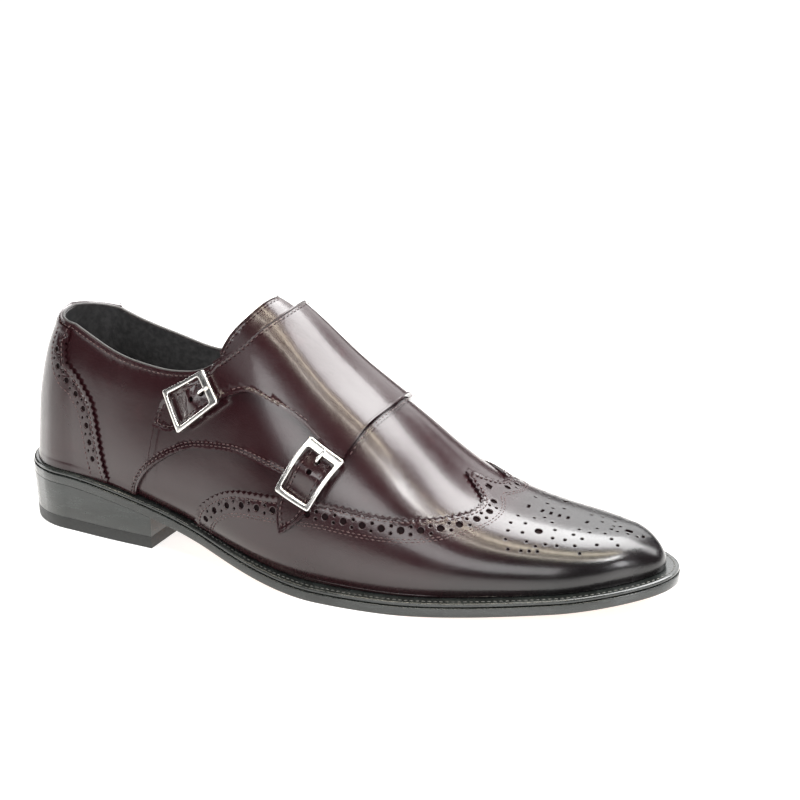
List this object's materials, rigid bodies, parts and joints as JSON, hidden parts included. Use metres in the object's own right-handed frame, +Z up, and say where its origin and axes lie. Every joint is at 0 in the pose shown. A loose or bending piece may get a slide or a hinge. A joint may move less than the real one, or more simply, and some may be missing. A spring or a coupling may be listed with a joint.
{
  "type": "monk strap shoe",
  "caption": "Right-foot monk strap dress shoe with wing tip and heel counter overlays, a wide instep strap held by frame buckles, a low block heel and a hollow upper open at the collar.",
  "frame": {"origin": "on the ground under the middle of the shoe's bounding box", "axes": "+X points to the toe, +Y to the medial side, away from the buckles, and +Z up"},
  "size_m": [0.3034, 0.1022, 0.1116],
  "materials": {
    "oxblood_leather": "glossy polished dark red-brown leather, near black at toe and heel",
    "polished_nickel": "polished",
    "black_sole_edge": "waxed black edge",
    "black_lining": "matt black lining",
    "tan_sole_leather": "smooth tan sole leather with a black edge",
    "black_rubber": "satin black"
  },
  "bodies": {
    "root": {"upper": "oxblood_leather", "tongue": "oxblood_leather", "wing_tip": "oxblood_leather", "quarter_lateral": "oxblood_leather", "monk_strap": "oxblood_leather", "counter": "oxblood_leather", "buckle_upper": "polished_nickel", "buckle_lower": "polished_nickel", "prong_upper": "polished_nickel", "prong_lower": "polished_nickel", "welt": "black_sole_edge", "insole": "black_lining", "outsole": "tan_sole_leather", "heel_block": "black_sole_edge", "top_piece": "black_rubber"}
  },
  "joints": []
}
